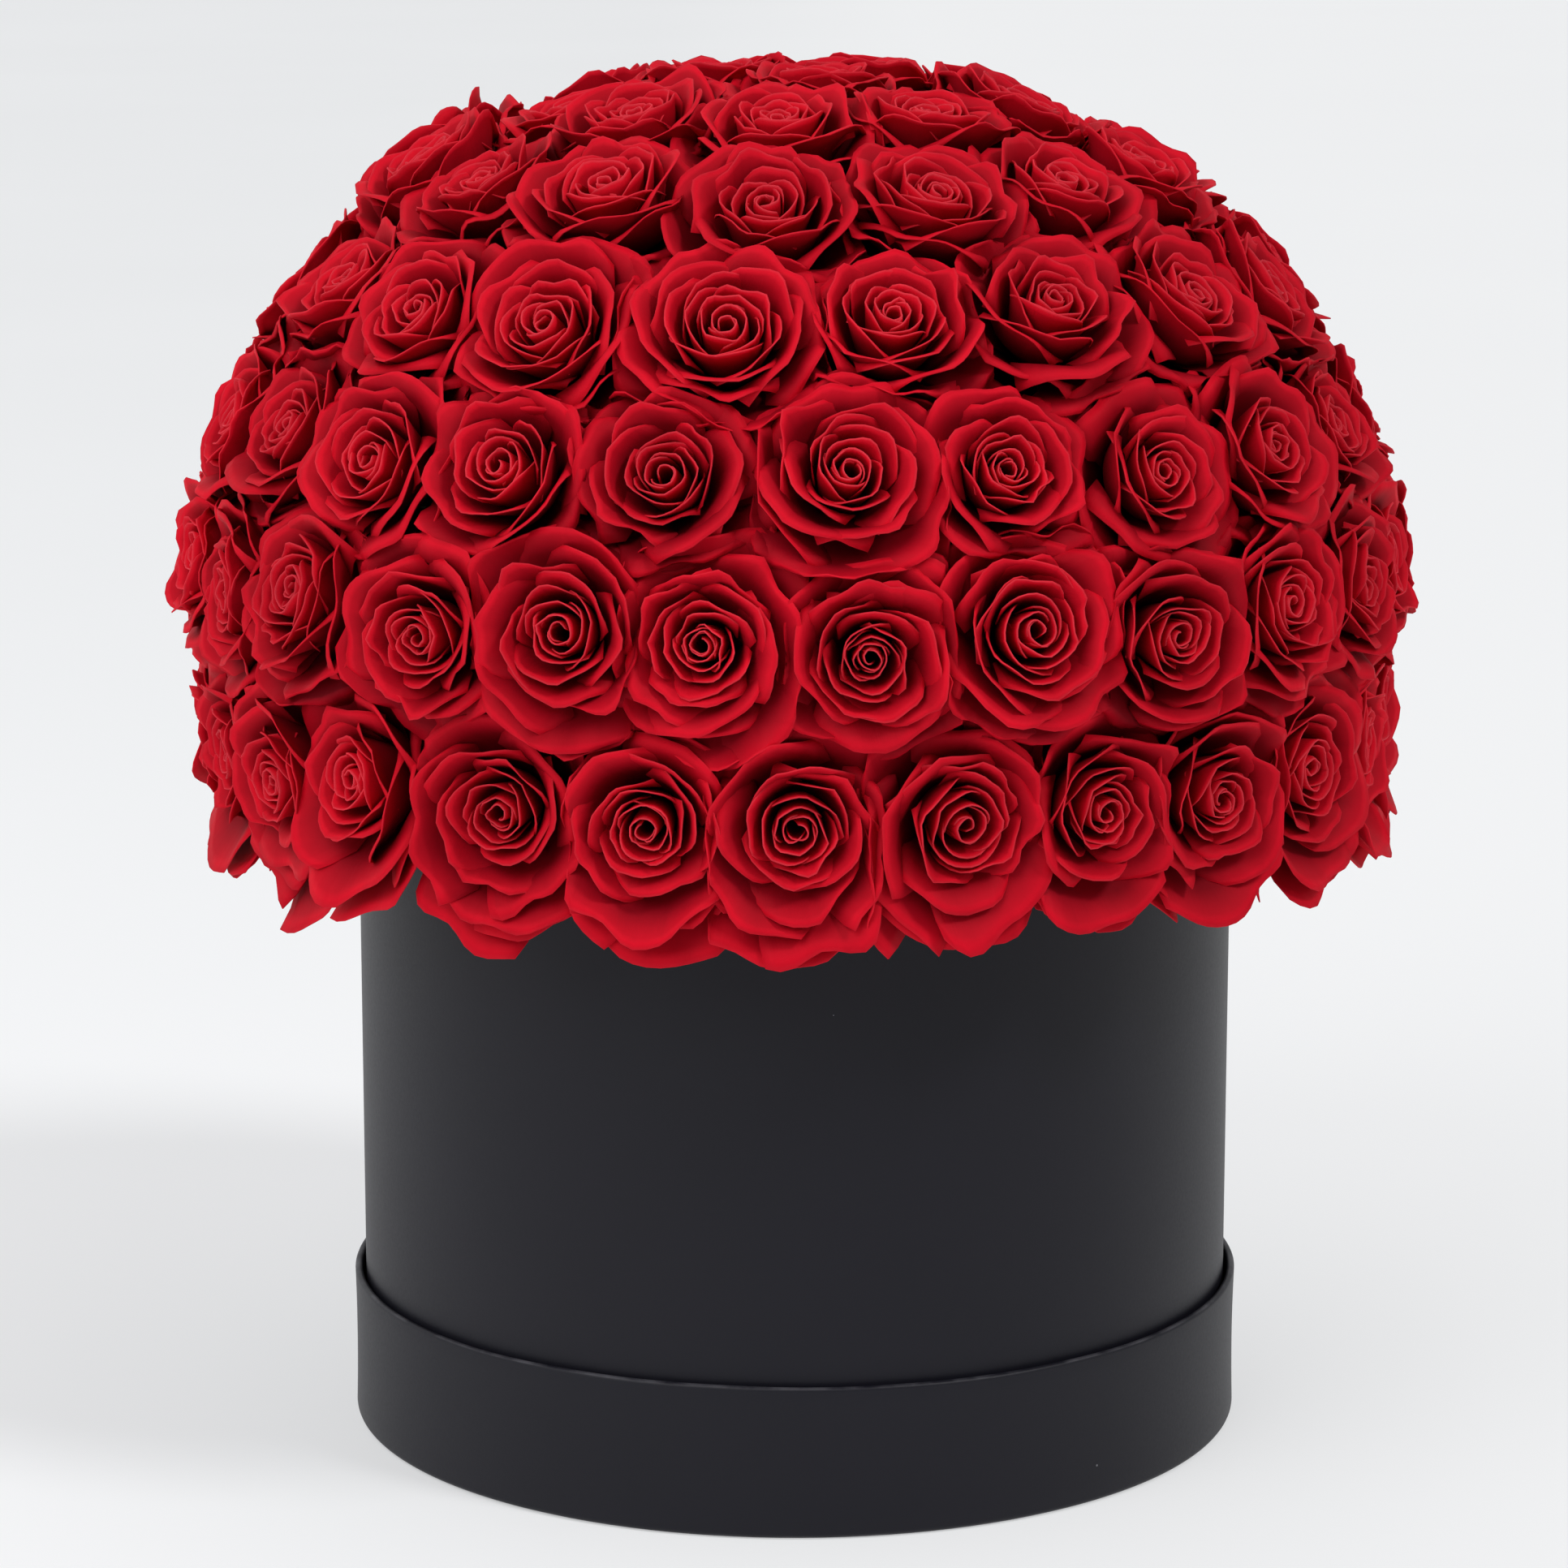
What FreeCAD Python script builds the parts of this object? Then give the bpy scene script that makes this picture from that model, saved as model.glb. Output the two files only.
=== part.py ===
import FreeCAD, Part
import math
import os
from FreeCAD import Placement, Rotation, Vector

# Round hat box of roses. The box stands in its own lid, turned over under it, and a foam dome over the
# rim carries rows of rose heads on picks. Millimetres. Z is up, the front faces -Y, and the origin is on
# the floor under the middle of the lid.

# Paper and board
paper = 0.3
board = 2.0

# Box, over its paper
box_diameter = 298.0
box_height = 212.4
turn_in = 18.0

# Lid, a loose fit round the foot of the box
lid_gap = 1.2
lid_height = 51.0
lid_waist = 0.4
lid_heel = 2.0
lid_board_heel = 1.8

# Foam block in the box and foam dome on it
foam_clearance = 0.4
foam_above_rim = 1.0
dome_radius = 169.0
dome_rise = 142.0
dome_waist_above_rim = 68.0

# Skewers that pin the dome to the block
skewer_count = 4
skewer_diameter = 5.0
skewer_length = 100.0
skewer_circle = 80.0

# Picks that carry the roses
pick_diameter = 2.4
pick_depth = 45.0
pick_tip = 6.0
pick_fit = 0.05

# Calyx of a rose, measured along the rose's axis from the face of the foam
calyx_foot = 1.2
calyx_top = 9.0
calyx_foot_radius = 3.0
calyx_radius = 8.6
socket_depth = 4.5

# Bloom of a rose, on the same axis
bloom_radius = 24.2
bud_foot_radius = 8.0
bud_radius = 6.2
bud_top = 42.5
petal_count = 12
petal_thickness = 0.9
petal_turn = 137.5
inner_rim_radius = 7.4
inner_rim_height = 43.5
outer_rim_height = 33.0
inner_petal_foot = 29.0
outer_petal_foot = 11.5
inner_petal_span = 128.0
outer_petal_span = 84.0
inner_lip = -0.6
outer_lip = 4.0
rose_spin = 77.0

# Loose outer petals of the roses next to the box: row, then degrees from straight down, radius and height
# of the rim, and degrees the petal takes up
loose_petals = {
    1: [(-3.0, 41.0, 25.0, 58.0), (4.0, 36.0, 28.5, 66.0), (180.0, 29.0, 31.5, 70.0)],
    2: [(0.0, 28.5, 31.5, 70.0)],
}
loose_lip = 5.0
loose_turn = 150.0

# Rows of roses from the rim of the box upwards: place on the dome (degrees up from its widest level), way
# the rose faces (degrees up), number in the row, and place of the first one (degrees round from the front)
rose_rows = [
    (-15.4, -3.0, 25, 0.0),
    (5.4, 8.0, 25, 7.2),
    (21.5, 26.0, 22, 4.2),
    (37.6, 43.5, 18, 11.5),
    (53.0, 58.0, 14, -5.0),
    (68.0, 71.0, 9, -3.4),
    (81.6, 83.0, 3, 16.6),
]

origin = Vector(0, 0, 0)
up = Vector(0, 0, 1)


def corner(radius, height):
    return Vector(radius, 0, height)


def revolved(edges, span=360.0):
    return Part.Face(Part.Wire(edges)).revolve(origin, up, span)


def turned(points, span=360.0):
    return revolved(Part.makePolygon([corner(*p) for p in points + points[:1]]).Edges, span)


def disc(radius, foot, thickness):
    return Part.makeCylinder(radius, thickness, corner(0, foot))


def ring(inner, outer, foot, top):
    return turned([(inner, foot), (outer, foot), (outer, top), (inner, top)])


# Radii and levels that follow from the sizes above
box_radius = box_diameter / 2
tube_outer = box_radius - paper
tube_inner = tube_outer - board
box_inner = tube_inner - paper
lid_inner = box_radius + lid_gap
band_inner = lid_inner + paper
band_outer = band_inner + board
lid_radius = band_outer + paper
lid_panel_top = paper + board
box_foot = lid_panel_top + paper
box_rim = box_foot + box_height
base_foot = box_foot + paper
base_top = base_foot + board
dome_centre = box_rim + dome_waist_above_rim
dome_foot = box_rim + foam_above_rim


def rounded_wall(inner, outer, foot, top, waist, heel, bent):
    # A wall with a half-round top edge, its outside drawn in a little at mid height. The heel is the size
    # of its outer foot edge, which is an arc if bent and otherwise cut straight.
    half = (outer - inner) / 2
    shoulder = top - half
    middle = (foot + shoulder) / 2
    near = corner(outer - heel, foot)
    side_foot = corner(outer, foot + heel)
    side_top = corner(outer, shoulder)
    edges = [Part.makeLine(corner(inner, foot), near)]
    if bent:
        bend = corner(outer - heel + heel * math.sqrt(0.5), foot + heel - heel * math.sqrt(0.5))
        edges.append(Part.Arc(near, bend, side_foot).toShape())
    elif heel:
        edges.append(Part.makeLine(near, side_foot))
    if waist:
        edges.append(Part.Arc(side_foot, corner(outer - waist, middle), side_top).toShape())
    else:
        edges.append(Part.makeLine(side_foot, side_top))
    edges.append(Part.Arc(side_top, corner(inner + half, top), corner(inner, shoulder)).toShape())
    edges.append(Part.makeLine(corner(inner, shoulder), corner(inner, foot)))
    return revolved(edges)


def wrapped_wall(inner, outer, foot, top, waist, heel, board_heel):
    # A board wall and the paper round it, which goes over the top edge and turn_in down the inside
    wall = rounded_wall(inner, outer, foot, top, waist, board_heel, False)
    skin = rounded_wall(inner - paper, outer + paper, foot, top + paper, waist, heel, heel > 0)
    inside = ring(inner - 2 * paper, inner, foot - 1, top - turn_in)
    return wall, skin.cut(wall).cut(inside)


def ellipse_seat(elevation):
    # Place on the dome, as radius and height, for a row's elevation
    angle = math.radians(elevation)
    return dome_radius * math.cos(angle), dome_centre + dome_rise * math.sin(angle)


def foam_dome():
    # Turned from a curve through places up the dome, from its foot to the pole
    low = -math.degrees(math.asin((dome_centre - dome_foot) / dome_rise))
    steps = 12
    points = [corner(*ellipse_seat(low + (90.0 - low) * i / steps)) for i in range(steps)]
    points.append(corner(0, dome_centre + dome_rise))
    side = Part.BSplineCurve()
    side.interpolate(points)
    foot = Part.makeLine(corner(0, dome_foot), points[0])
    middle = Part.makeLine(points[-1], corner(0, dome_foot))
    return revolved([foot, side.toShape(), middle])


def pick(grow):
    radius = pick_diameter / 2 + grow
    top = calyx_foot + socket_depth
    return turned([(0, -pick_depth - grow), (radius, pick_tip - pick_depth - grow), (radius, top), (0, top)])


def calyx():
    cup = turned(
        [
            (0, calyx_foot),
            (calyx_foot_radius, calyx_foot),
            (calyx_foot_radius + 1.0, calyx_top / 2),
            (calyx_radius, calyx_top - 1.0),
            (calyx_radius, calyx_top),
            (0, calyx_top),
        ]
    )
    return cup.cut(pick(pick_fit))


def bud_radius_at(height):
    share = (height - calyx_top) / (bud_top - calyx_top)
    return bud_foot_radius + (bud_radius - bud_foot_radius) * share


def petal_strip(rim_radius, rim_height, foot_height, lip, span, drop):
    # A thin bent strip turned part of the way round, rooted in the bud. The drop moves the outer side down
    # the axis, so that a petal that lies nearly flat is as thick as one that stands.
    foot_radius = bud_radius_at(foot_height) - petal_thickness
    shoulder_radius = rim_radius - lip
    belly_radius = foot_radius + 0.7 * (shoulder_radius - foot_radius)
    outside = [
        (foot_radius, foot_height),
        (belly_radius, foot_height + 0.3 * (rim_height - foot_height)),
        (shoulder_radius, foot_height + 0.75 * (rim_height - foot_height)),
        (rim_radius, rim_height),
    ]
    inside = [(radius - petal_thickness, height + drop) for radius, height in reversed(outside)]
    return turned(outside + inside, span)


def petal(number):
    # The inner petals close over the bud and the outer ones lean out in a lip
    share = number / (petal_count - 1)
    rim_radius = inner_rim_radius + (bloom_radius - inner_rim_radius) * share
    rim_height = inner_rim_height + (outer_rim_height - inner_rim_height) * share**2
    foot_height = inner_petal_foot + (outer_petal_foot - inner_petal_foot) * share
    lip = inner_lip + (outer_lip - inner_lip) * share
    span = inner_petal_span + (outer_petal_span - inner_petal_span) * share
    strip = petal_strip(rim_radius, rim_height, foot_height, lip, span, 0)
    strip.rotate(origin, up, petal_turn * number)
    return strip


def loose_petal(turn, rim_radius, rim_height, span):
    strip = petal_strip(rim_radius, rim_height, outer_petal_foot, loose_lip, span, petal_thickness)
    strip.rotate(origin, up, turn - span / 2)
    return strip


def bloom(turn, loose):
    # A bud with its petals, turned on its axis, and loose petals that keep their place
    neck = bud_top - bud_radius
    bud = turned(
        [
            (0, calyx_top),
            (bud_radius_at(calyx_top), calyx_top),
            (bud_radius_at(neck), neck),
            (0.5 * bud_radius, bud_top),
            (0, bud_top),
        ]
    )
    petals = [petal(i) for i in range(petal_count)]
    for strip in petals:
        strip.rotate(origin, up, turn)
    return bud.fuse(petals + [loose_petal(*values) for values in loose]).Solids[0]


def row_places(row, hung):
    # Roses that are hung have their own X axis downwards, and the others are each turned a little further
    seat, facing, count, first = row
    radius, height = ellipse_seat(seat)
    tilt = math.radians(facing)
    places = []
    for i in range(count):
        azimuth = first + 360.0 * i / count
        turn = math.radians(azimuth)
        outward = Vector(math.sin(turn), -math.cos(turn), 0)
        axis = outward * math.cos(tilt) + up * math.sin(tilt)
        spin = Rotation(up, azimuth - 90.0 if hung else rose_spin * i)
        places.append(Placement(outward * radius + up * height, Rotation(up, axis).multiply(spin)))
    return places


def placed(shape, places):
    copies = []
    for place in places:
        copy = shape.copy()
        copy.Placement = place
        copies.append(copy)
    return Part.Compound(copies)


def skewers(grow):
    rods = []
    for i in range(skewer_count):
        turn = 2 * math.pi * (i + 0.5) / skewer_count
        level = dome_foot - skewer_length / 2 - grow
        foot = Vector(skewer_circle * math.cos(turn), skewer_circle * math.sin(turn), level)
        rods.append(Part.makeCylinder(skewer_diameter / 2 + grow, skewer_length + 2 * grow, foot))
    return Part.Compound(rods)


parts = {}

# Lid
band_top = lid_height - paper
heels = (lid_heel, lid_board_heel)
lid_band, lid_wrap = wrapped_wall(band_inner, band_outer, paper, band_top, lid_waist, *heels)
parts["lid_panel_paper"] = disc(band_inner, 0, paper)
parts["lid_panel"] = disc(band_inner, paper, board)
parts["lid_band"] = lid_band
parts["lid_wrap"] = lid_wrap
parts["lid_lining"] = disc(lid_inner - 0.3, lid_panel_top, paper)

# Box
box_tube, box_wrap = wrapped_wall(tube_inner, tube_outer, base_foot, box_rim - paper, 0, 0, 0)
parts["box_base_paper"] = disc(tube_outer, box_foot, paper)
parts["box_base"] = disc(tube_inner, base_foot, board)
parts["box_tube"] = box_tube
parts["box_wrap"] = box_wrap
parts["box_lining"] = ring(box_inner, tube_inner, base_top, box_rim - paper - turn_in)

# Foam
rods = skewers(pick_fit)
block = disc(box_inner - foam_clearance, base_top, dome_foot - base_top)
parts["foam_block"] = block.cut(rods.Solids)
parts["foam_dome"] = foam_dome().cut(rods.Solids)
parts["dome_skewers"] = skewers(0)

# Roses
rose_calyx = calyx()
rose_pick = pick(0)
for number, row in enumerate(rose_rows, start=1):
    loose = loose_petals.get(number, [])
    places = row_places(row, bool(loose))
    left = bloom(0, loose)
    right = bloom(loose_turn, loose).mirror(origin, Vector(0, 1, 0))
    blooms = placed(left, places[0::2]).Solids + placed(right, places[1::2]).Solids
    parts[f"rose_blooms_row_{number}"] = Part.Compound(blooms)
    parts[f"rose_calyxes_row_{number}"] = placed(rose_calyx, places)
    parts[f"rose_picks_row_{number}"] = placed(rose_pick, places)

os.makedirs("parts", exist_ok=True)
for name, shape in parts.items():
    shape.exportStep(f"parts/{name}.step")
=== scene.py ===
import math
import random
import bmesh
import bpy
from mathutils import Matrix, Vector


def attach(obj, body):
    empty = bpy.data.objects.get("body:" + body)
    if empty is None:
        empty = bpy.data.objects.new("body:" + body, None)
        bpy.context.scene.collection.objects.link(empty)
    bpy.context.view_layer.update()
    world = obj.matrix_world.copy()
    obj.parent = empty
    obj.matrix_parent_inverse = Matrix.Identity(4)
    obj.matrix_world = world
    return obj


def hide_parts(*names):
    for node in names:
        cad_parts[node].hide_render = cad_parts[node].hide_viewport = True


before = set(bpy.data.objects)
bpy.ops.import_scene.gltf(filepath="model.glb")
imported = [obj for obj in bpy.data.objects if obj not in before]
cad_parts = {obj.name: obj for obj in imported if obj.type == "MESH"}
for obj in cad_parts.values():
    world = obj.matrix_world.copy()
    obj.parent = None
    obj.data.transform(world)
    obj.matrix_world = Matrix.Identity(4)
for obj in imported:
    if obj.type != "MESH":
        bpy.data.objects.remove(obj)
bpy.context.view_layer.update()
mm = 0.001
print("frame loaded:", len(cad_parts), "nodes")


def srgb(code):
    # sRGB hex to the linear colour a socket takes
    parts = [int(code[i:i + 2], 16) / 255 for i in (1, 3, 5)]
    return [c / 12.92 if c <= 0.04045 else ((c + 0.055) / 1.055) ** 2.4 for c in parts] + [1.0]


def addNode(tree, kind, settings=None, **inputs):
    # adds a node, sets its properties, and fills or links its inputs
    # an input goes by its name, with underscores for spaces, or by i and its number
    node = tree.nodes.new(kind)
    for key, value in (settings or {}).items():
        setattr(node, key, value)
    for key, value in inputs.items():
        numbered = key[0] == "i" and key[1:].isdigit()
        socket = node.inputs[int(key[1:]) if numbered else key.replace("_", " ")]
        if isinstance(value, bpy.types.NodeSocket):
            tree.links.new(value, socket)
        else:
            socket.default_value = value
    return node


def newMaterial(name):
    material = bpy.data.materials.new(name)
    material.use_nodes = True
    tree = material.node_tree
    return material, tree, tree.nodes["Principled BSDF"]


def twoShades(name, scale, detail, dark, light, roughness):
    # a plain material that wavers between two shades of its colour
    material, tree, shader = newMaterial(name)
    place = addNode(tree, "ShaderNodeTexCoord")
    noise = addNode(tree, "ShaderNodeTexNoise", Vector=place.outputs["Object"], Scale=scale, Detail=detail)
    shade = addNode(tree, "ShaderNodeValToRGB", Fac=noise.outputs[0])
    shade.color_ramp.elements[0].color = srgb(dark)
    shade.color_ramp.elements[1].color = srgb(light)
    tree.links.new(shade.outputs[0], shader.inputs["Base Color"])
    shader.inputs["Roughness"].default_value = roughness
    return material


def dress(material, *names):
    for name in names:
        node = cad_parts[name]
        node.data.materials.clear()
        node.data.materials.append(material)


def addPiece(bm, name, material):
    # the finished bmesh as a smooth object at the origin
    for face in bm.faces:
        face.smooth = True
    mesh = bpy.data.meshes.new(name)
    bm.to_mesh(mesh)
    bm.free()
    mesh.materials.append(material)
    piece = bpy.data.objects.new(name, mesh)
    bpy.context.scene.collection.objects.link(piece)
    return piece


def thicken(piece, name, thickness, offset):
    solid = piece.modifiers.new(name, "SOLIDIFY")
    solid.thickness = thickness * mm
    solid.offset = offset


# rows of roses: the same places as the solids, in millimetres and degrees
roseDome = {
    "seed": 11,
    "radius": 169.0,
    "rise": 142.0,
    "centre": 283.0,
    "rimLevel": 33.0,
    # place on the dome, way the rose faces, number, place of the first one round from the front
    "rows": [
        (-15.4, -3.0, 25, 0.0),
        (5.4, 8.0, 25, 7.2),
        (21.5, 26.0, 22, 4.2),
        (37.6, 43.5, 18, 11.5),
        (53.0, 58.0, 14, -5.0),
        (68.0, 71.0, 9, -3.4),
        (81.6, 83.0, 3, 16.6),
    ],
    "lift": (0.0, 0.0, 0.0, 2.5, 4.0, 2.0, 0.0),     # how much further out the heads of a row stand
    "proud": {(5, 10): 10.0, (5, 11): 3.0},      # and single heads: row and place in it
    "lean": 7.0,             # degrees a rose may lean from its pick
    "sizeSpread": 0.07,
    "depthSpread": 2.0,
    "open": (1.0, 1.3),      # how slowly the petals open out from the heart
    "pressReach": 80.0,      # roses closer than this press on each other
}

# one rose: cup petals stand round the heart, loose petals lie outside them
rosePetals = {
    "fewest": 26,
    "most": 29,
    "innerGrid": (12, 4),    # faces across and along a petal
    "outerGrid": (16, 4),
    "thickness": 0.45,
    "turn": 137.5,           # degrees from one petal to the next
    "turnSpread": 0.3,       # radians
    "cupShare": 0.66,        # share of the petals that are cup petals
    # radius
    "footRadius": 3.0,
    "heartRadius": 2.6,
    "cupRadius": 27.0,       # rim of the last cup petal
    "outerRadius": 43.0,     # rim of the last loose petal, where no neighbour stops it
    "rimSpread": (0.95, 1.05),
    # height above the seat: the rims rise from the heart to the cup, and the loose ones fall away
    "footHeight": 10.0,
    "heartHeight": 36.0,
    "cupRise": 9.0,
    "cupFall": 2.5,
    "looseFall": 13.0,
    "heightSpread": 0.4,
    "heartCorner": 1.2,      # how much lower the corners of a petal are
    "cupCorner": 9.0,        # and how much more that is on the cup
    # half the width, in radians round the heart, and its shares from foot to rim
    "halfWidth": 1.15,
    "heartWrap": 1.6,
    "looseNarrow": 0.2,
    "widthSpread": 0.08,
    "footShare": 0.36,
    "shoulder": (0.7, 0.3),  # where a petal is widest, and the rest up to the rim
    "rimNarrow": 0.2,
    # rim that rolls outwards
    "cupLip": 7.0,
    "looseLip": 1.5,
    "lipSpread": (0.7, 1.2),
    "curl": (0.55, 0.45),    # where it starts to roll, and the rest up to the rim
    "heartDip": 0.45,        # how far it rolls down, as a share of the lip
    "cupDip": 0.22,
    # one side of a petal lies further out than the other, so that they wind into a spiral
    "heartSpiral": 0.20,
    "spiral": (0.03, 0.10),
    "tilt": 0.06,
    "heartDrift": 0.35,      # how far a petal is off the middle
    "cupDrift": 0.9,
    # straight stretches of the rim, with a corner between them
    "fold": (22, 34),        # half the angle of a stretch, degrees
    "tipSpread": 0.3,        # where the corner is, radians
    "crease": (0.2, 0.9),
    # waves of the rim: pace across the petal and size, three slow ones and a quick one
    "waves": [((1.5, 7.5), (0.3, 1.0))] * 3 + [((8.0, 11.0), (0.2, 0.6))],
    "heartWave": 0.3,
    "cupWave": 1.15,
    "looseCalm": 0.4,
    "waveOut": 0.7,          # share of a wave that goes outwards
    "waveUp": 0.8,           # and upwards
    "frillPace": (0.24, 0.36),   # radians a millimetre, for waves 17 to 26 mm long
    "frillSize": (0.6, 2.2),
    # where two roses meet
    "press": 1.8,            # how far a petal may reach past the line between them
    "overlap": 3.0,          # how far that line is over the lower of the two
    "tuck": 1.0,             # and how far the lower one stays back from it
    "overRise": 0.5,
    "underFall": 0.6,
    "rufflePace": (0.15, 0.42),
    "ruffles": 2,
    "ruffleShare": 0.22,     # of what is pushed back
    "ruffleLimit": 4.0,
    # loose petals of the first row hang down over the box, here the first and the last of them
    "hangRadius": (34.0, 47.0),  # how far they reach below the middle of the rose
    "hangLevel": (43.0, 37.0),   # how far out from the foam
    "droop": (0.9, 1.06),
    "hangOut": 0.4,
    "hangUp": 0.8,
}
anyPhase = (0, 6.28)


def rosePlaces():
    chance = random.Random(roseDome["seed"])
    up = Vector((0, 0, 1))
    lean = math.radians(roseDome["lean"])
    places = []
    for number, (seat, facing, count, first) in enumerate(roseDome["rows"], start=1):
        angle = math.radians(seat)
        rise = math.radians(facing)
        radius = roseDome["radius"] * math.cos(angle)
        height = roseDome["centre"] + roseDome["rise"] * math.sin(angle)
        for i in range(count):
            turn = math.radians(first + 360.0 * i / count)
            outward = Vector((math.sin(turn), -math.cos(turn), 0))
            axis = outward * math.cos(rise) + up * math.sin(rise)
            side = outward.cross(up)
            axis = Matrix.Rotation(chance.uniform(-lean, lean), 3, side) @ axis
            axis = Matrix.Rotation(chance.uniform(-lean, lean), 3, "Z") @ axis
            place = outward * radius + Vector((0, 0, height))
            spin = Matrix.Rotation(chance.uniform(0, 2 * math.pi), 4, "Z")
            aim = up.rotation_difference(axis).to_matrix().to_4x4()
            places.append({
                "row": number,
                "matrix": Matrix.Translation(place) @ aim @ spin,
                "middle": place + axis * roseDome["rimLevel"],
                "out": roseDome["lift"][number - 1] + roseDome["proud"].get((number, i), 0.0),
                "seed": chance.randrange(1000000),
            })
    for here in places:
        back = here["matrix"].to_3x3().inverted()
        here["beside"] = []
        for other in places:
            gap = other["middle"] - here["middle"]
            if other is here or gap.length > roseDome["pressReach"]:
                continue
            flat = back @ gap
            flat.z = 0
            over = here["seed"] > other["seed"]     # one of the two lies over the other where they meet
            here["beside"].append((flat.normalized(), gap.length / 2, over))
        here["down"] = (back @ Vector((0, 0, -1))).xy.normalized() if here["row"] == 1 else None
    return places


def drawPetal(age, rose, chance):
    # what a petal is like, by its age, 0 at the heart and 1 outermost, and by chance
    p = rosePetals
    cup = min(1.0, age / p["cupShare"])
    loose = max(0.0, age - p["cupShare"]) / (1 - p["cupShare"])
    rim = p["heartRadius"] + (p["cupRadius"] - p["heartRadius"]) * cup ** rose["open"]
    rim = rim * rose["size"] * chance.uniform(*p["rimSpread"]) + (p["outerRadius"] - p["cupRadius"]) * loose
    top = p["heartHeight"] + rose["rise"] + p["cupRise"] * cup - p["cupFall"] * cup ** 2 - p["looseFall"] * loose
    top += chance.uniform(-1.0, 1.0) * (p["heightSpread"] + age)
    half = p["halfWidth"] + p["heartWrap"] * (1 - cup) ** 2.4 - p["looseNarrow"] * loose
    half += chance.uniform(-p["widthSpread"], p["widthSpread"])
    lip = (p["cupLip"] * cup ** 1.2 + p["looseLip"] * loose) * chance.uniform(*p["lipSpread"])
    petal = {"cup": cup, "loose": loose, "rim": rim, "top": top, "half": half, "lip": lip}
    petal["spiral"] = p["heartSpiral"] * (1 - cup) ** 2 + chance.uniform(*p["spiral"])
    petal["fold"] = math.radians(chance.uniform(*p["fold"]))
    petal["tip"] = chance.uniform(-p["tipSpread"], p["tipSpread"])
    petal["crease"] = chance.uniform(*p["crease"])
    petal["wave"] = p["heartWave"] + p["cupWave"] * cup ** 1.5 - p["looseCalm"] * loose
    petal["waves"] = [
        (chance.uniform(*pace), chance.uniform(*anyPhase), chance.uniform(*size)) for pace, size in p["waves"]
    ]
    petal["ruffles"] = [
        (chance.uniform(*p["rufflePace"]), chance.uniform(*anyPhase)) for _ in range(p["ruffles"])
    ]
    petal["frill"] = (
        chance.uniform(*p["frillPace"]),
        chance.uniform(*anyPhase),
        chance.uniform(*p["frillSize"]) * loose ** 0.5,
    )
    petal["tilt"] = chance.uniform(-p["tilt"], p["tilt"])
    droop = chance.uniform(*p["droop"])
    for key in ("hangRadius", "hangLevel"):
        first, last = p[key]
        petal[key] = droop * (first + (last - first) * loose)
    petal["drift"] = Vector((chance.gauss(0, 1), chance.gauss(0, 1))) * (p["heartDrift"] + p["cupDrift"] * cup)
    return petal


def pressPoint(x, y, height, petal, rose):
    # pushes a point of a petal back from the lines where its rose meets others
    p = rosePetals
    for way, reach, over in rose["beside"]:
        past = x * way.x + y * way.y - reach + (-p["overlap"] if over else p["tuck"])
        if past > 0:
            pushed = past - p["press"] * (1 - math.exp(-past / p["press"]))
            strip = -x * way.y + y * way.x
            crimp = sum(math.sin(pace * strip + shift) for pace, shift in petal["ruffles"])
            pushed += p["ruffleShare"] * min(pushed, p["ruffleLimit"]) * crimp
            x -= way.x * pushed
            y -= way.y * pushed
            height += (p["overRise"] if over else -p["underFall"]) * pushed
    return x, y, height


def petalPoint(petal, rose, u, v):
    # where a point of a petal lies in its rose: u across from -1 to 1, v from foot to rim
    p = rosePetals
    cup, loose, rim, lip, fold = (petal[key] for key in ("cup", "loose", "rim", "lip", "fold"))
    curl = max(0.0, (v - p["curl"][0]) / p["curl"][1])
    widest, rest = p["shoulder"]
    width = p["footShare"] + (1 - p["footShare"]) * math.sin(min(1.0, v / widest) * math.pi / 2)
    width -= p["rimNarrow"] * max(0.0, v - widest) / rest
    swing = u * petal["half"] * width
    radius = p["footRadius"] * (1 - v) + (rim - lip) * (1 - (1 - v) ** (2.3 - 0.5 * loose))
    radius += lip * curl ** 2
    off = min(abs(swing - petal["tip"]), 2 * fold)
    radius *= 1 + petal["crease"] * v ** 3 * (math.cos(fold) / math.cos(off - fold) - 1)
    height = p["footHeight"] + (petal["top"] - p["footHeight"]) * v ** 0.95
    height -= (p["heartCorner"] + p["cupCorner"] * cup) * abs(u) ** 3 * v ** 2
    height -= (p["heartDip"] + p["cupDip"] * cup ** 2) * lip * curl ** 3
    ripple = sum(size * math.sin(pace * u + shift) for pace, shift, size in petal["waves"])
    ripple = ripple * petal["wave"] * v ** 3
    pace, shift, size = petal["frill"]
    radius += p["waveOut"] * ripple
    height += p["waveUp"] * ripple + size * math.sin(pace * swing * rim + shift) * v ** 3
    radius *= 1 + petal["spiral"] * u * v + petal["tilt"] * u
    turn = rose["turn"] + rose["hand"] * swing
    if loose and rose["down"] is not None:
        low = max(0.0, math.cos(turn) * rose["down"].x + math.sin(turn) * rose["down"].y)
        radius += max(0.0, petal["hangRadius"] - rim) * low ** 1.3 * v ** 1.5 + p["hangOut"] * ripple * low
        height += (petal["hangLevel"] - height) * low ** 1.3 * v ** 3 + p["hangUp"] * ripple * low
    x = radius * math.cos(turn) + petal["drift"].x * v ** 2
    y = radius * math.sin(turn) + petal["drift"].y * v ** 2
    if cup > 0.8 and v > 0.3:       # only these reach the neighbours
        x, y, height = pressPoint(x, y, height, petal, rose)
    return Vector((x, y, height))


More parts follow.
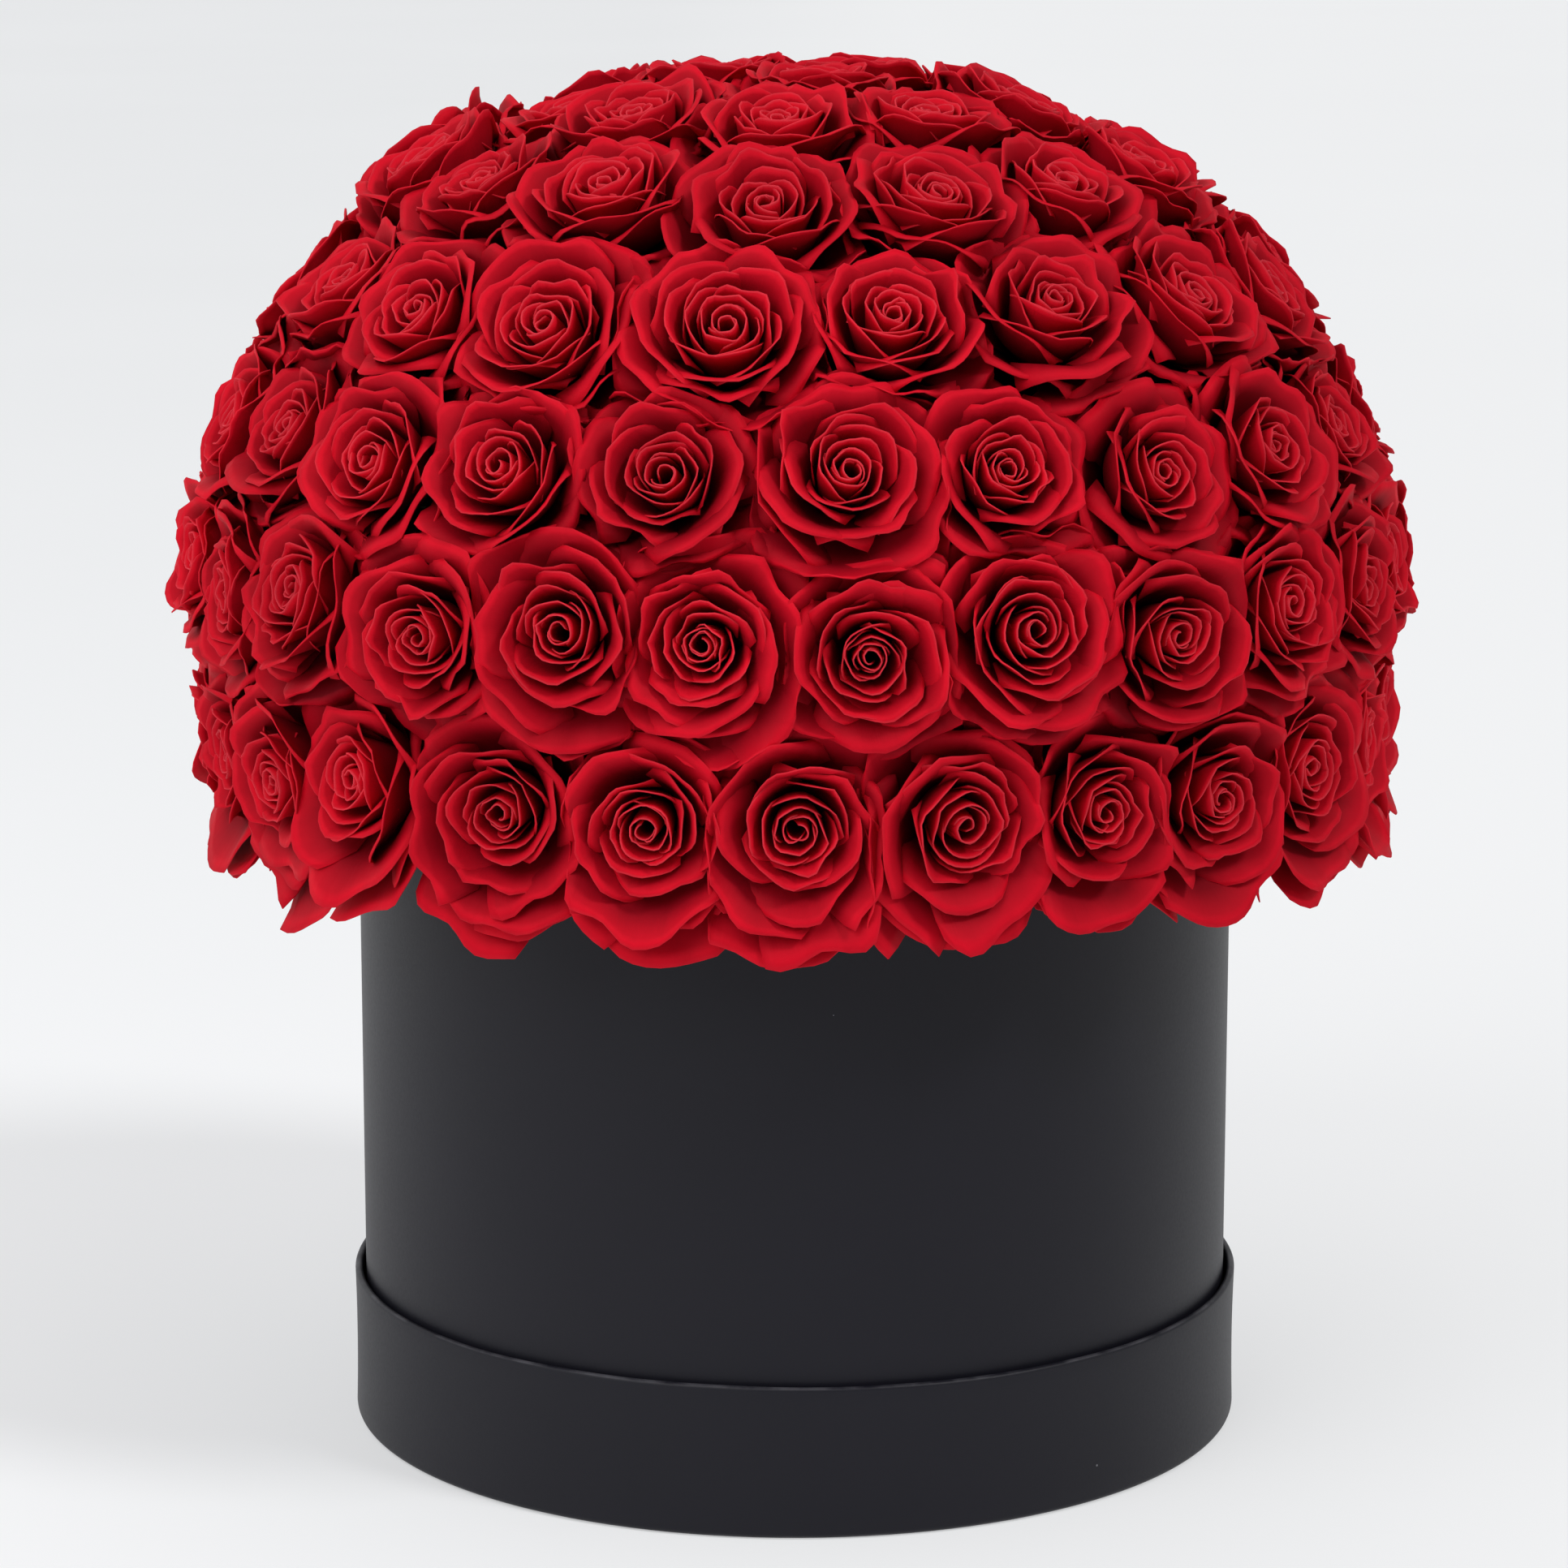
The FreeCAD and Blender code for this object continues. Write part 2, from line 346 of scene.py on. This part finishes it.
def growPetal(bm, age, rose, chance):
    petal = drawPetal(age, rose, chance)
    across, along = rosePetals["outerGrid" if petal["loose"] else "innerGrid"]
    shape = bmesh.ops.create_grid(bm, x_segments=across, y_segments=along, size=1.0, calc_uvs=True)
    for vert in shape["verts"]:
        v = 1 - (0.5 - 0.5 * vert.co.y) ** 1.6      # the rows of faces are closer near the rim
        vert.co = rose["matrix"] @ petalPoint(petal, rose, vert.co.x, v) * mm
        vert[rose["ageLayer"]] = age
        vert[rose["tintLayer"]] = rose["tint"]


def buildRoses(number, places):
    bm = bmesh.new()
    bm.loops.layers.uv.new("petal")
    ageLayer = bm.verts.layers.float.new("petalAge")
    tintLayer = bm.verts.layers.float.new("roseTint")
    for rose in places:
        chance = random.Random(rose["seed"])
        rose["hand"] = chance.choice((-1, 1))
        rose["size"] = 1 + chance.uniform(-1, 1) * roseDome["sizeSpread"]
        rose["rise"] = rose["out"] + chance.uniform(-1, 1) * roseDome["depthSpread"]
        rose["open"] = chance.uniform(*roseDome["open"])
        rose["tint"] = chance.random()
        rose["ageLayer"] = ageLayer
        rose["tintLayer"] = tintLayer
        rose["turn"] = 0.0
        count = chance.randint(rosePetals["fewest"], rosePetals["most"])
        spread = rosePetals["turnSpread"]
        for petalNumber in range(count):
            growPetal(bm, petalNumber / (count - 1), rose, chance)
            rose["turn"] += rose["hand"] * math.radians(rosePetals["turn"]) + chance.uniform(-spread, spread)
    piece = addPiece(bm, f"roses_row_{number}", rosePetal)
    thicken(piece, "petal thickness", rosePetals["thickness"], 0.0)
    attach(piece, "box")
    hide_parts(f"rose_blooms_row_{number}")
    return piece


# preserved rose petal: velvety, darker towards the foot, partly the petal's own deep red in the folds and partly
# painted shade where the petals overlap, fine veins from foot to rim, and a thin paler rim, a painted highlight,
# that shows most on the petals near the heart
rosePetal, tree, shader = newMaterial("preserved rose petal")
petalUv = addNode(tree, "ShaderNodeUVMap", {"uv_map": "petal"})
petalAge = addNode(tree, "ShaderNodeAttribute", {"attribute_name": "petalAge"})
roseTint = addNode(tree, "ShaderNodeAttribute", {"attribute_name": "roseTint"})
along = addNode(tree, "ShaderNodeSeparateXYZ", Vector=petalUv.outputs[0])
# darker towards the foot: the petal's own deeper red there, and painted shade under the overlapping petals
footRedAndShade = addNode(tree, "ShaderNodeValToRGB", Fac=along.outputs["Y"])
footRedAndShade.color_ramp.elements[0].color = srgb("#4a020b")
footRedAndShade.color_ramp.elements[1].position = 0.88
footRedAndShade.color_ramp.elements[1].color = srgb("#d20d24")
shadeBendStop = footRedAndShade.color_ramp.elements.new(0.5)
shadeBendStop.color = srgb("#920819")
# painted highlight: a thin paler line along the rim, strongest on the young petals near the heart
rimHighlight = addNode(
    tree, "ShaderNodeMapRange", Value=along.outputs["Y"], From_Min=0.93, From_Max=1.0, To_Max=0.45,
)
young = addNode(
    tree, "ShaderNodeMapRange", Value=petalAge.outputs["Fac"], From_Max=0.7, To_Min=1.0, To_Max=0.15,
)
paintedHighlight = addNode(tree, "ShaderNodeMath", {"operation": "MULTIPLY"}, i0=rimHighlight.outputs[0], i1=young.outputs[0])
petalRed = addNode(
    tree, "ShaderNodeMixRGB", Fac=paintedHighlight.outputs[0], Color1=footRedAndShade.outputs[0], Color2=srgb("#e0505c"),
)
place = addNode(tree, "ShaderNodeTexCoord")
mottle = addNode(        # 14 mm patches
    tree, "ShaderNodeTexNoise", Vector=place.outputs["Object"], Scale=70.0, Detail=3.0,
)
patchShift = addNode(
    tree, "ShaderNodeMapRange", Value=mottle.outputs[0], From_Min=0.3, From_Max=0.7, To_Min=0.86, To_Max=1.06,
)
tintShift = addNode(tree, "ShaderNodeMapRange", Value=roseTint.outputs["Fac"], To_Min=0.9, To_Max=1.05)
bothShifts = addNode(
    tree, "ShaderNodeMath", {"operation": "MULTIPLY"}, i0=patchShift.outputs[0], i1=tintShift.outputs[0],
)
colour = addNode(tree, "ShaderNodeHueSaturation", Color=petalRed.outputs[0], Value=bothShifts.outputs[0])
tree.links.new(colour.outputs[0], shader.inputs["Base Color"])
# about 46 veins across a petal, one in 1 to 2 mm
veinPlace = addNode(tree, "ShaderNodeMapping", Vector=petalUv.outputs[0], Scale=(46.0, 2.2, 1.0))
veins = addNode(tree, "ShaderNodeTexNoise", Vector=veinPlace.outputs[0], Scale=1.0, Detail=2.0)
bump = addNode(tree, "ShaderNodeBump", Strength=0.22, Distance=0.0004, Height=veins.outputs[0])
tree.links.new(bump.outputs[0], shader.inputs["Normal"])
shader.inputs["Roughness"].default_value = 0.62
shader.inputs["Specular IOR Level"].default_value = 0.06
shader.inputs["Sheen Weight"].default_value = 0.03
shader.inputs["Sheen Roughness"].default_value = 0.4
shader.inputs["Sheen Tint"].default_value = srgb("#ff2838")

# black covering paper: smooth and satin, a faint fibre grain, paler along the turned edges, partly rubbed wear and
# partly a painted highlight, a few dust specks
blackPaper, tree, shader = newMaterial("satin black covering paper")
place = addNode(tree, "ShaderNodeTexCoord")
fibre = addNode(         # about 1 mm
    tree, "ShaderNodeTexNoise", Vector=place.outputs["Object"], Scale=900.0, Detail=4.0,
)
cloud = addNode(         # 55 mm
    tree, "ShaderNodeTexNoise", Vector=place.outputs["Object"], Scale=18.0, Detail=3.0,
)
shade = addNode(tree, "ShaderNodeValToRGB", Fac=cloud.outputs[0])
shade.color_ramp.elements[0].color = srgb("#111119")
shade.color_ramp.elements[1].color = srgb("#15141d")
edgeWearAndHighlight = addNode(tree, "ShaderNodeAttribute", {"attribute_name": "edgeWearAndHighlight"})  # 1 on a turned edge
edgePatchNoise = addNode(       # 17 mm
    tree, "ShaderNodeTexNoise", Vector=place.outputs["Object"], Scale=60.0, Detail=5.0,
)
# patches of paler turned edge: partly wear, partly a painted highlight
edgePatches = addNode(
    tree, "ShaderNodeMapRange", Value=edgePatchNoise.outputs[0], From_Min=0.42, From_Max=0.75, To_Max=0.55,
)
rimWearAndHighlight = addNode(
    tree, "ShaderNodeMath", {"operation": "MULTIPLY"}, i0=edgeWearAndHighlight.outputs["Fac"], i1=edgePatches.outputs[0],
)
specks = addNode(        # 14 mm apart, 0.5 mm in radius, and about a quarter of them show
    tree, "ShaderNodeTexVoronoi", Vector=place.outputs["Object"], Scale=70.0,
)
near = addNode(tree, "ShaderNodeMath", {"operation": "LESS_THAN"}, i0=specks.outputs["Distance"], i1=0.035)
few = addNode(tree, "ShaderNodeSeparateColor", Color=specks.outputs["Color"])
chosen = addNode(tree, "ShaderNodeMath", {"operation": "GREATER_THAN"}, i0=few.outputs[0], i1=0.72)
dust = addNode(tree, "ShaderNodeMath", {"operation": "MULTIPLY"}, i0=near.outputs[0], i1=chosen.outputs[0])
# paler turned edges, part wear and part painted highlight, and dust specks
wearHighlightAndDust = addNode(tree, "ShaderNodeMath", {"operation": "MAXIMUM"}, i0=rimWearAndHighlight.outputs[0], i1=dust.outputs[0])
wornAndHighlit = addNode(
    tree, "ShaderNodeMixRGB", Fac=wearHighlightAndDust.outputs[0], Color1=shade.outputs[0], Color2=srgb("#6d6c72"),
)
tree.links.new(wornAndHighlit.outputs[0], shader.inputs["Base Color"])
rough = addNode(tree, "ShaderNodeMapRange", Value=fibre.outputs[0], To_Min=0.42, To_Max=0.54)
tree.links.new(rough.outputs[0], shader.inputs["Roughness"])
bump = addNode(tree, "ShaderNodeBump", Strength=0.12, Distance=0.0002, Height=fibre.outputs[0])
tree.links.new(bump.outputs[0], shader.inputs["Normal"])
shader.inputs["IOR"].default_value = 1.5
shader.inputs["Specular IOR Level"].default_value = 0.25

# lining paper: the same black, matt, fibres of 1.4 mm
liningPaper = twoShades("matt black lining paper", 700.0, 4.0, "#161518", "#29272b", 0.8)

# greyboard: pressed waste paper, specks of 1.7 mm
greyboard = twoShades("grey pulp board", 600.0, 5.0, "#8b857b", "#b4ada1", 0.9)

# dry floral foam: dull green darkened almost to black, partly painted shade for the gaps between the roses, open
# cells of 1.1 mm
floralFoam, tree, shader = newMaterial("dry floral foam")
place = addNode(tree, "ShaderNodeTexCoord")
cells = addNode(tree, "ShaderNodeTexVoronoi", Vector=place.outputs["Object"], Scale=900.0)
shade = addNode(tree, "ShaderNodeValToRGB", Fac=cells.outputs["Distance"])
# near black: painted shade in the gaps between the roses, over the foam's own dull green
shade.color_ramp.elements[0].color = srgb("#121d12")
shade.color_ramp.elements[1].color = srgb("#22331f")
tree.links.new(shade.outputs[0], shader.inputs["Base Color"])
bump = addNode(tree, "ShaderNodeBump", Strength=0.5, Distance=0.0006, Height=cells.outputs["Distance"])
tree.links.new(bump.outputs[0], shader.inputs["Normal"])
shader.inputs["Roughness"].default_value = 0.95

# bamboo: straw coloured, flecks of 1.3 mm
bamboo = twoShades("split bamboo", 800.0, 3.0, "#b08a4e", "#d8b878", 0.6)

# calyx: dried green, blotches of 4 mm
calyxGreen = twoShades("dried green calyx", 250.0, 3.0, "#2a3818", "#4c5b2a", 0.7)

rowNumbers = range(1, len(roseDome["rows"]) + 1)
dress(blackPaper, "lid_panel_paper", "box_wrap", "box_base_paper")
dress(liningPaper, "lid_lining", "box_lining")
dress(greyboard, "lid_panel", "lid_band", "box_base", "box_tube")
dress(floralFoam, "foam_block", "foam_dome")
dress(bamboo, "dome_skewers", *[f"rose_picks_row_{n}" for n in rowNumbers])
dress(calyxGreen, *[f"rose_calyxes_row_{n}" for n in rowNumbers])
print("materials done")

places = rosePlaces()
for number in rowNumbers:
    row = [rose for rose in places if rose["row"] == number]
    piece = buildRoses(number, row)
    print("row", number, "has", len(row), "roses,", len(piece.data.polygons), "petal faces")

# covering paper of the lid: one sheet round the foot edge, up the side, over the rim and down the inside
lidPaper = {
    "inner": 150.2,
    "outer": 152.8,
    "foot": 0.3,
    "heel": 2.0,             # radius of the foot edge
    "height": 51.0,
    "waist": 0.4,            # how far the side is drawn in at its middle
    "turnIn": 18.3,
    "thickness": 0.3,
    "heelSteps": 6,
    "sideSteps": 9,
    "rimSteps": 12,
    "roundSteps": 240,
    "paleRimBand": 0.4,          # how far the paler band, wear and painted highlight, reaches from the rim
    "paleFootBand": 0.9,         # and up from the floor
    "uneven": 0.12,          # hand wrapped, so the rim isn't quite true
    "unevenFrom": 30.0,      # height from which that shows
    "unevenWaves": ((3, 0.6, 1.0), (7, 2.1, 0.7), (16, 4.0, 0.5)),   # number round the rim, shift, size
    "ovalWave": (5, 1.3, 0.6),
}


def lidOutline():
    p = lidPaper
    half = (p["outer"] - p["inner"]) / 2
    shoulder = p["height"] - half
    points = []
    for i in range(p["heelSteps"] + 1):
        bend = math.radians(90 * i / p["heelSteps"])
        out = p["outer"] - p["heel"] * (1 - math.sin(bend))
        points.append((out, p["foot"] + p["heel"] * (1 - math.cos(bend))))
    for i in range(1, p["sideSteps"]):
        share = i / p["sideSteps"]
        rise = p["foot"] + p["heel"] + (shoulder - p["foot"] - p["heel"]) * share
        points.append((p["outer"] - 4 * p["waist"] * share * (1 - share), rise))
    for i in range(p["rimSteps"] + 1):
        bend = math.radians(180 * i / p["rimSteps"])
        points.append((p["outer"] - half + half * math.cos(bend), shoulder + half * math.sin(bend)))
    points.append((p["inner"], p["height"] - p["turnIn"]))
    return points


def buildLidCovering():
    p = lidPaper
    bm = bmesh.new()
    outline = [bm.verts.new((r * mm, 0, z * mm)) for r, z in lidOutline()]
    edges = [bm.edges.new(pair) for pair in zip(outline, outline[1:])]
    bmesh.ops.spin(
        bm, geom=outline + edges, cent=(0, 0, 0), axis=(0, 0, 1),
        angle=2 * math.pi, steps=p["roundSteps"], use_merge=True,
    )
    bmesh.ops.remove_doubles(bm, verts=bm.verts, dist=0.00001)
    # marks the turned edges for the paler band, part wear and part painted highlight
    wearAndHighlightLayer = bm.verts.layers.float.new("edgeWearAndHighlight")
    ovalCount, ovalShift, ovalSize = p["ovalWave"]
    for vert in bm.verts:
        atEdge = vert.co.z > (p["height"] - p["paleRimBand"]) * mm or vert.co.z < p["paleFootBand"] * mm
        vert[wearAndHighlightLayer] = 1.0 if atEdge else 0.0
        turn = math.atan2(vert.co.y, vert.co.x)
        up = max(0.0, vert.co.z / mm - p["unevenFrom"]) / (p["height"] - p["unevenFrom"])
        ripple = sum(size * math.sin(count * turn + shift) for count, shift, size in p["unevenWaves"])
        vert.co.z += p["uneven"] * mm * ripple * up
        vert.co.xy *= 1 + ovalSize * p["uneven"] * math.sin(ovalCount * turn + ovalShift) * up / p["outer"]
    bmesh.ops.recalc_face_normals(bm, faces=bm.faces)
    outside = max(bm.faces, key=lambda face: face.calc_center_median().xy.length)
    if outside.normal.xy.dot(outside.calc_center_median().xy) < 0:
        bmesh.ops.reverse_faces(bm, faces=bm.faces)
    return addPiece(bm, "lid_covering", blackPaper)


lidCovering = buildLidCovering()
thicken(lidCovering, "paper thickness", lidPaper["thickness"], -1.0)
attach(lidCovering, "lid")
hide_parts("lid_wrap")
print("lid covering done")

# pale floor and soft light: a surround that is dim behind the camera and on the right,
# a large lamp at the front on the left, and a weak sun from the right that casts the shadow
studio = {
    "floorSize": 30.0,
    "floorColours": ("#eff0f1", "#f4f5f6"),
    "paleColour": "#f7f8f9",
    "paleShares": (0.34, 0.6),   # share of this colour that the floor shows under any light, left and right; the larger share on the right is painted light that lifts the shadow there
    "paleReach": 0.25,           # metres from the middle to where each share is full
    "surroundColour": "#f3f4f6",
    "surroundStrength": 0.86,
    "frontStrength": 0.22,
    "frontSpan": (-0.9, -0.1),   # from where to where along Y the one passes into the other
    "sideShares": (1.25, 0.5),   # of that strength, left and right
    "sunPlace": (1.25, -0.83, 1.5),
    "sunTarget": (0, 0, 0),
    "sunStrength": 1.12,
    "sunSpread": 14.0,
    "keyPlace": (-1.4, -2.0, 2.1),
    "keyTarget": (0, 0, 0.3),
    "keyPower": 42.0,
    "keySize": 2.4,
}

# studio floor: matt pale paper, faint clouds of 0.8 m
floorPaper, tree, shader = newMaterial("pale studio floor")
place = addNode(tree, "ShaderNodeTexCoord")
cloud = addNode(tree, "ShaderNodeTexNoise", Vector=place.outputs["Object"], Scale=1.2, Detail=2.0)
shade = addNode(tree, "ShaderNodeValToRGB", Fac=cloud.outputs[0])
shade.color_ramp.elements[0].color = srgb(studio["floorColours"][0])
shade.color_ramp.elements[1].color = srgb(studio["floorColours"][1])
tree.links.new(shade.outputs[0], shader.inputs["Base Color"])
shader.inputs["Roughness"].default_value = 0.8
shader.inputs["Specular IOR Level"].default_value = 0.1
rays = addNode(tree, "ShaderNodeLightPath")
seen = rays.outputs["Is Camera Ray"]
for kind in ("Is Glossy Ray", "Is Transmission Ray"):
    seen = addNode(tree, "ShaderNodeMath", {"operation": "MAXIMUM"}, i0=seen, i1=rays.outputs[kind]).outputs[0]
across = addNode(tree, "ShaderNodeSeparateXYZ", Vector=place.outputs["Object"])
# painted light: the floor glows more on the right, which lifts the lamp's shadow on that side
paintedLightShare = addNode(
    tree, "ShaderNodeMapRange", Value=across.outputs["X"],
    From_Min=-studio["paleReach"], From_Max=studio["paleReach"],
    To_Min=studio["paleShares"][0], To_Max=studio["paleShares"][1],
)
share = addNode(tree, "ShaderNodeMath", {"operation": "MULTIPLY"}, i0=seen, i1=paintedLightShare.outputs[0])
pale = addNode(tree, "ShaderNodeEmission", Color=srgb(studio["paleColour"]), Strength=1.0)
blend = addNode(
    tree, "ShaderNodeMixShader", i0=share.outputs[0], i1=shader.outputs[0], i2=pale.outputs[0],
)
tree.links.new(blend.outputs[0], tree.nodes["Material Output"].inputs["Surface"])

bm = bmesh.new()
bmesh.ops.create_grid(bm, x_segments=1, y_segments=1, size=studio["floorSize"])
floor = addPiece(bm, "floor", floorPaper)

world = bpy.data.worlds.new("studio")
world.use_nodes = True
tree = world.node_tree
way = addNode(tree, "ShaderNodeTexCoord")
turn = addNode(tree, "ShaderNodeSeparateXYZ", Vector=way.outputs["Generated"])
front = addNode(
    tree, "ShaderNodeMapRange", Value=turn.outputs["Y"],
    From_Min=studio["frontSpan"][0], From_Max=studio["frontSpan"][1],
    To_Min=studio["frontStrength"], To_Max=studio["surroundStrength"],
)
aside = addNode(
    tree, "ShaderNodeMapRange", Value=turn.outputs["X"], From_Min=-1.0, From_Max=1.0,
    To_Min=studio["sideShares"][0], To_Max=studio["sideShares"][1],
)
strength = addNode(
    tree, "ShaderNodeMath", {"operation": "MULTIPLY"}, i0=front.outputs[0], i1=aside.outputs[0],
)
tree.nodes["Background"].inputs["Color"].default_value = srgb(studio["surroundColour"])
tree.links.new(strength.outputs[0], tree.nodes["Background"].inputs["Strength"])
bpy.context.scene.world = world


def addLamp(name, kind, place, target, strength, size):
    # size is degrees for a sun and metres for a lamp
    data = bpy.data.lights.new(name, kind)
    data.energy = strength
    if kind == "SUN":
        data.angle = math.radians(size)
    else:
        data.shape = "DISK"
        data.size = size
    lamp = bpy.data.objects.new(name, data)
    lamp.location = place
    lamp.rotation_euler = (Vector(target) - Vector(place)).to_track_quat("-Z", "Y").to_euler()
    bpy.context.scene.collection.objects.link(lamp)


addLamp("sun", "SUN", studio["sunPlace"], studio["sunTarget"], studio["sunStrength"], studio["sunSpread"])
addLamp("key", "AREA", studio["keyPlace"], studio["keyTarget"], studio["keyPower"], studio["keySize"])

view = {
    "lens": 120.0,
    "sensor": 36.0,
    "place": (-0.0037, -1.755, 0.57375),
    "down": 11.468,      # degrees below the level
    "farthest": 100.0,
}

cameraData = bpy.data.cameras.new("camera")
cameraData.lens = view["lens"]
cameraData.sensor_width = view["sensor"]
cameraData.clip_end = view["farthest"]
camera = bpy.data.objects.new("camera", cameraData)
camera.location = view["place"]
camera.rotation_euler = (math.radians(90 - view["down"]), 0, 0)
bpy.context.scene.collection.objects.link(camera)
bpy.context.scene.camera = camera
bpy.context.scene.view_settings.view_transform = "Standard"
print("studio done")
